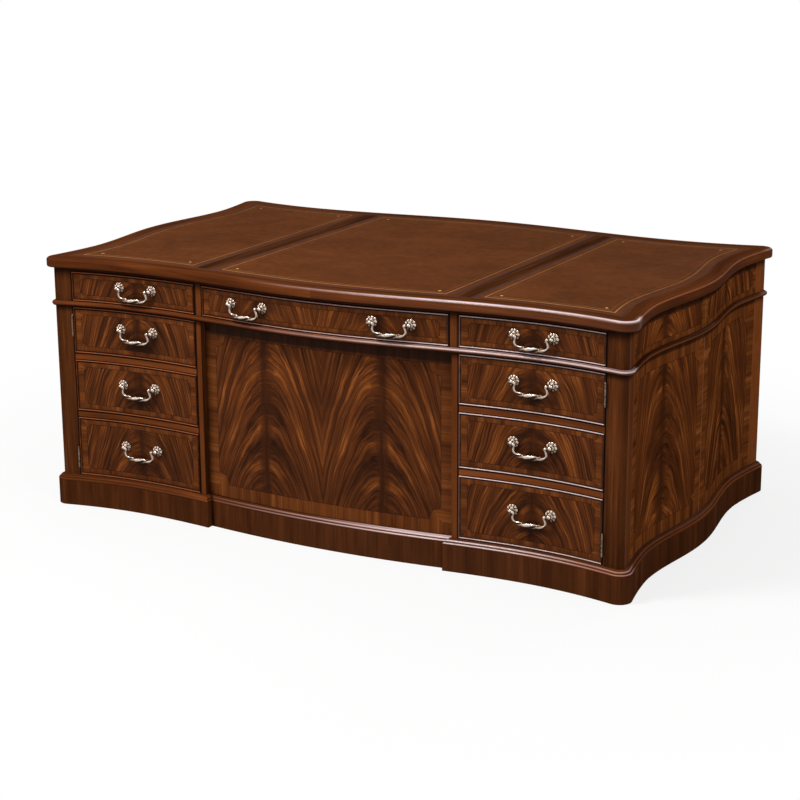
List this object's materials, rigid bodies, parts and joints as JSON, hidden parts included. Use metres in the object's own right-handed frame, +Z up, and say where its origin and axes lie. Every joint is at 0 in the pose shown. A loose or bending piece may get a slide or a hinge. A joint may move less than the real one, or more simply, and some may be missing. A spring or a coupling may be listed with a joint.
{
  "type": "pedestal desk",
  "caption": "Serpentine pedestal desk in flame mahogany with inset leather top, drawers on both sides, two cupboards and swan-neck bail pulls.",
  "frame": {"origin": "on the floor under the middle of the desk", "axes": "+X to the right along the visitor's side, -Y out of the visitor's side, +Y out of the user's side, +Z up"},
  "size_m": [1.9528, 1.2114, 0.787],
  "materials": {
    "flame_mahogany": "polished flame veneer",
    "tan_leather": "satin with gold tooled lines",
    "drawer_maple": "clear satin",
    "antique_brass": "antiqued and waxed"
  },
  "bodies": {
    "carcass": {"desk_top": "flame_mahogany", "frieze_case": "flame_mahogany", "hinge_left_lower": "antique_brass", "hinge_left_upper": "antique_brass", "hinge_right_lower": "antique_brass", "hinge_right_upper": "antique_brass", "leather_centre": "tan_leather", "leather_left": "tan_leather", "leather_right": "tan_leather", "modesty_panel": "flame_mahogany", "pedestal_left": "flame_mahogany", "pedestal_right": "flame_mahogany", "plinth_centre": "flame_mahogany", "plinth_left": "flame_mahogany", "plinth_right": "flame_mahogany", "shelf_left": "flame_mahogany", "shelf_right": "flame_mahogany", "waist_moulding": "flame_mahogany"},
    "bail_door_left_lower": {"bail_door_left_lower": "antique_brass"},
    "bail_door_left_middle": {"bail_door_left_middle": "antique_brass"},
    "bail_door_left_upper": {"bail_door_left_upper": "antique_brass"},
    "bail_door_right_lower": {"bail_door_right_lower": "antique_brass"},
    "bail_door_right_middle": {"bail_door_right_middle": "antique_brass"},
    "bail_door_right_upper": {"bail_door_right_upper": "antique_brass"},
    "bail_file_left": {"bail_file_left": "antique_brass"},
    "bail_file_right": {"bail_file_right": "antique_brass"},
    "bail_front_centre_left": {"bail_front_centre_left": "antique_brass"},
    "bail_front_centre_right": {"bail_front_centre_right": "antique_brass"},
    "bail_front_left": {"bail_front_left": "antique_brass"},
    "bail_front_right": {"bail_front_right": "antique_brass"},
    "bail_rear_centre_left": {"bail_rear_centre_left": "antique_brass"},
    "bail_rear_centre_right": {"bail_rear_centre_right": "antique_brass"},
    "bail_rear_left": {"bail_rear_left": "antique_brass"},
    "bail_rear_right": {"bail_rear_right": "antique_brass"},
    "bail_upper_left": {"bail_upper_left": "antique_brass"},
    "bail_upper_right": {"bail_upper_right": "antique_brass"},
    "door_left": {"door_left": "flame_mahogany"},
    "door_right": {"door_right": "flame_mahogany"},
    "file_drawer_left": {"file_drawer_left_face": "flame_mahogany", "file_drawer_left_box": "drawer_maple"},
    "file_drawer_right": {"file_drawer_right_face": "flame_mahogany", "file_drawer_right_box": "drawer_maple"},
    "front_drawer_centre": {"front_drawer_centre_face": "flame_mahogany", "front_drawer_centre_box": "drawer_maple"},
    "front_drawer_left": {"front_drawer_left_face": "flame_mahogany", "front_drawer_left_box": "drawer_maple"},
    "front_drawer_right": {"front_drawer_right_face": "flame_mahogany", "front_drawer_right_box": "drawer_maple"},
    "rear_drawer_centre": {"rear_drawer_centre_face": "flame_mahogany", "rear_drawer_centre_box": "drawer_maple"},
    "rear_drawer_left": {"rear_drawer_left_face": "flame_mahogany", "rear_drawer_left_box": "drawer_maple"},
    "rear_drawer_right": {"rear_drawer_right_face": "flame_mahogany", "rear_drawer_right_box": "drawer_maple"},
    "upper_drawer_left": {"upper_drawer_left_face": "flame_mahogany", "upper_drawer_left_box": "drawer_maple"},
    "upper_drawer_right": {"upper_drawer_right_face": "flame_mahogany", "upper_drawer_right_box": "drawer_maple"}
  },
  "joints": [
    {"name": "file_drawer_left_slide", "type": "slide", "parent": "carcass", "child": "file_drawer_left", "axis": [0, 1, 0], "range_m": [0, 0.5]},
    {"name": "file_drawer_right_slide", "type": "slide", "parent": "carcass", "child": "file_drawer_right", "axis": [0, 1, 0], "range_m": [0, 0.5]},
    {"name": "front_drawer_centre_slide", "type": "slide", "parent": "carcass", "child": "front_drawer_centre", "axis": [0, -1, 0], "range_m": [0, 0.24]},
    {"name": "front_drawer_left_slide", "type": "slide", "parent": "carcass", "child": "front_drawer_left", "axis": [0, -1, 0], "range_m": [0, 0.24]},
    {"name": "front_drawer_right_slide", "type": "slide", "parent": "carcass", "child": "front_drawer_right", "axis": [0, -1, 0], "range_m": [0, 0.24]},
    {"name": "rear_drawer_centre_slide", "type": "slide", "parent": "carcass", "child": "rear_drawer_centre", "axis": [0, 1, 0], "range_m": [0, 0.4]},
    {"name": "rear_drawer_left_slide", "type": "slide", "parent": "carcass", "child": "rear_drawer_left", "axis": [0, 1, 0], "range_m": [0, 0.4]},
    {"name": "rear_drawer_right_slide", "type": "slide", "parent": "carcass", "child": "rear_drawer_right", "axis": [0, 1, 0], "range_m": [0, 0.4]},
    {"name": "upper_drawer_left_slide", "type": "slide", "parent": "carcass", "child": "upper_drawer_left", "axis": [0, 1, 0], "range_m": [0, 0.46]},
    {"name": "upper_drawer_right_slide", "type": "slide", "parent": "carcass", "child": "upper_drawer_right", "axis": [0, 1, 0], "range_m": [0, 0.46]},
    {"name": "door_left_hinge", "type": "hinge", "parent": "carcass", "child": "door_left", "pos_m": [-0.8822, -0.56104, 0.0977], "axis": [0, 0, -1], "range_deg": [0, 100]},
    {"name": "door_right_hinge", "type": "hinge", "parent": "carcass", "child": "door_right", "pos_m": [0.8822, -0.56104, 0.0977], "axis": [0, 0, 1], "range_deg": [0, 100]},
    {"name": "bail_door_left_lower_swing", "type": "hinge", "parent": "door_left", "child": "bail_door_left_lower", "pos_m": [-0.65936, -0.55336, 0.20415], "axis": [-0.9999, -0.0146, 0], "range_deg": [0, 85]},
    {"name": "bail_door_left_middle_swing", "type": "hinge", "parent": "door_left", "child": "bail_door_left_middle", "pos_m": [-0.65936, -0.55336, 0.40075], "axis": [-0.9999, -0.0146, 0], "range_deg": [0, 85]},
    {"name": "bail_door_left_upper_swing", "type": "hinge", "parent": "door_left", "child": "bail_door_left_upper", "pos_m": [-0.65936, -0.55336, 0.57595], "axis": [-0.9999, -0.0146, 0], "range_deg": [0, 85]},
    {"name": "bail_door_right_lower_swing", "type": "hinge", "parent": "door_right", "child": "bail_door_right_lower", "pos_m": [0.65936, -0.55336, 0.20415], "axis": [-0.9999, 0.0146, 0], "range_deg": [0, 85]},
    {"name": "bail_door_right_middle_swing", "type": "hinge", "parent": "door_right", "child": "bail_door_right_middle", "pos_m": [0.65936, -0.55336, 0.40075], "axis": [-0.9999, 0.0146, 0], "range_deg": [0, 85]},
    {"name": "bail_door_right_upper_swing", "type": "hinge", "parent": "door_right", "child": "bail_door_right_upper", "pos_m": [0.65936, -0.55336, 0.57595], "axis": [-0.9999, 0.0146, 0], "range_deg": [0, 85]},
    {"name": "bail_file_left_swing", "type": "hinge", "parent": "file_drawer_left", "child": "bail_file_left", "pos_m": [-0.65936, 0.55336, 0.29625], "axis": [0.9999, -0.0146, 0], "range_deg": [0, 85]},
    {"name": "bail_file_right_swing", "type": "hinge", "parent": "file_drawer_right", "child": "bail_file_right", "pos_m": [0.65936, 0.55336, 0.29625], "axis": [0.9999, 0.0146, 0], "range_deg": [0, 85]},
    {"name": "bail_front_centre_left_swing", "type": "hinge", "parent": "front_drawer_centre", "child": "bail_front_centre_left", "pos_m": [-0.24129, -0.58787, 0.7056], "axis": [-0.9934, 0.1145, 0], "range_deg": [0, 85]},
    {"name": "bail_front_centre_right_swing", "type": "hinge", "parent": "front_drawer_centre", "child": "bail_front_centre_right", "pos_m": [0.24129, -0.58787, 0.7056], "axis": [-0.9934, -0.1145, 0], "range_deg": [0, 85]},
    {"name": "bail_front_left_swing", "type": "hinge", "parent": "front_drawer_left", "child": "bail_front_left", "pos_m": [-0.65936, -0.55336, 0.7056], "axis": [-0.9999, -0.0146, 0], "range_deg": [0, 85]},
    {"name": "bail_front_right_swing", "type": "hinge", "parent": "front_drawer_right", "child": "bail_front_right", "pos_m": [0.65936, -0.55336, 0.7056], "axis": [-0.9999, 0.0146, 0], "range_deg": [0, 85]},
    {"name": "bail_rear_centre_left_swing", "type": "hinge", "parent": "rear_drawer_centre", "child": "bail_rear_centre_left", "pos_m": [-0.24129, 0.58787, 0.7056], "axis": [0.9934, 0.1145, 0], "range_deg": [0, 85]},
    {"name": "bail_rear_centre_right_swing", "type": "hinge", "parent": "rear_drawer_centre", "child": "bail_rear_centre_right", "pos_m": [0.24129, 0.58787, 0.7056], "axis": [0.9934, -0.1145, 0], "range_deg": [0, 85]},
    {"name": "bail_rear_left_swing", "type": "hinge", "parent": "rear_drawer_left", "child": "bail_rear_left", "pos_m": [-0.65936, 0.55336, 0.7056], "axis": [0.9999, -0.0146, 0], "range_deg": [0, 85]},
    {"name": "bail_rear_right_swing", "type": "hinge", "parent": "rear_drawer_right", "child": "bail_rear_right", "pos_m": [0.65936, 0.55336, 0.7056], "axis": [0.9999, 0.0146, 0], "range_deg": [0, 85]},
    {"name": "bail_upper_left_swing", "type": "hinge", "parent": "upper_drawer_left", "child": "bail_upper_left", "pos_m": [-0.65936, 0.55336, 0.57595], "axis": [0.9999, -0.0146, 0], "range_deg": [0, 85]},
    {"name": "bail_upper_right_swing", "type": "hinge", "parent": "upper_drawer_right", "child": "bail_upper_right", "pos_m": [0.65936, 0.55336, 0.57595], "axis": [0.9999, 0.0146, 0], "range_deg": [0, 85]}
  ]
}
